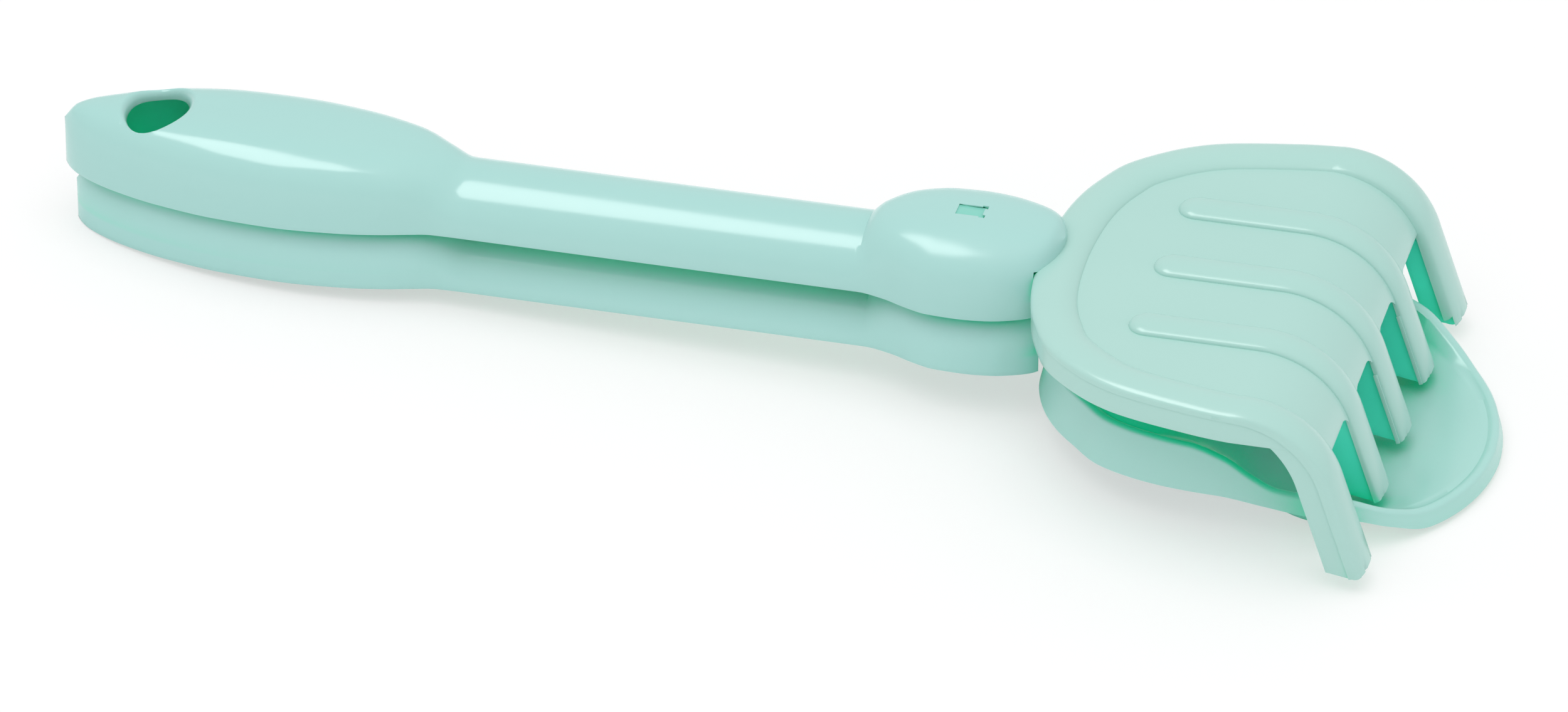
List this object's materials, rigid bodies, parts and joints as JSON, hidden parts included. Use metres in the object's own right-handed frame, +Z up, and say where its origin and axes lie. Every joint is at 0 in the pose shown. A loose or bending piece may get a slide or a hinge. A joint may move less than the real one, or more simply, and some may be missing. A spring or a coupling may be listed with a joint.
{
  "type": "sand rake",
  "caption": "Toy sand rake with a D-shaped ribbed head and a paddle grip, nested on a matching shovel that lifts away.",
  "frame": {"origin": "middle of the pair's bounding box, on the surface it lies on", "axes": "+X from the grips to the heads, +Y across the tines, +Z up from the surface"},
  "size_m": [0.3406, 0.1212, 0.0439],
  "materials": {
    "rake_handle_plastic": "gloss",
    "rake_head_plastic": "gloss",
    "shovel_handle_plastic": "gloss",
    "shovel_head_plastic": "gloss"
  },
  "bodies": {
    "shovel": {"shovel_handle": "shovel_handle_plastic", "shovel_head": "shovel_head_plastic"},
    "rake": {"rake_handle": "rake_handle_plastic", "rake_head": "rake_head_plastic"}
  },
  "joints": [
    {"name": "rake_lift", "type": "slide", "parent": "shovel", "child": "rake", "axis": [-0.0509, 0, 0.9987], "range_m": [0, 0.06]}
  ]
}
